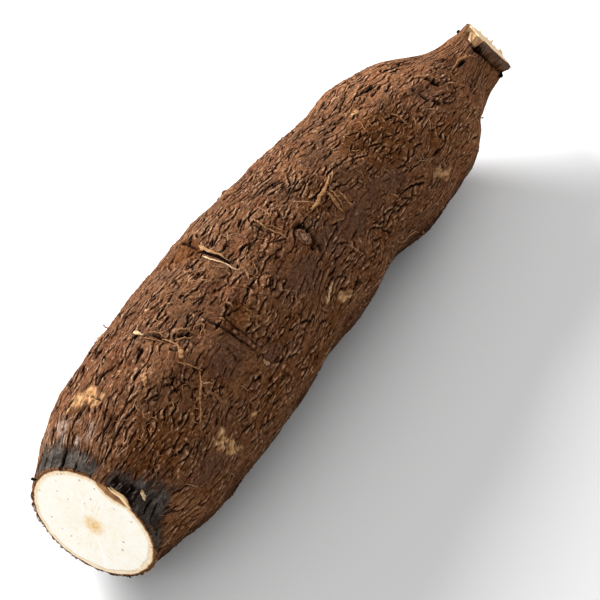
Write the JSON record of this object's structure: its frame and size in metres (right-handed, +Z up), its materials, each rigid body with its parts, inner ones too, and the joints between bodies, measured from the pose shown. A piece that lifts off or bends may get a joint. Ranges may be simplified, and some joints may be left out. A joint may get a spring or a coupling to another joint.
{
  "type": "cassava root",
  "caption": "Whole cassava root lying on its side: a long barrel in wrinkled brown bark, sawn flat at its thick end to white flesh, drawn in to a short upturned neck chopped at a slant.",
  "frame": {"origin": "the middle of the bounding box's bottom, on the surface that the root rests on", "axes": "+X along the root from its sawn thick end to its neck, +Z up, +Y to the left when looking towards the neck"},
  "size_m": [0.311, 0.0784, 0.0704],
  "materials": {
    "bark": "rough, dry, wrinkled brown bark",
    "flesh": "matt, moist, creamy white cut flesh",
    "neck_wood": "torn, fibrous, pale tan wood"
  },
  "bodies": {
    "root": {"cassava_root": "bark"}
  },
  "joints": []
}
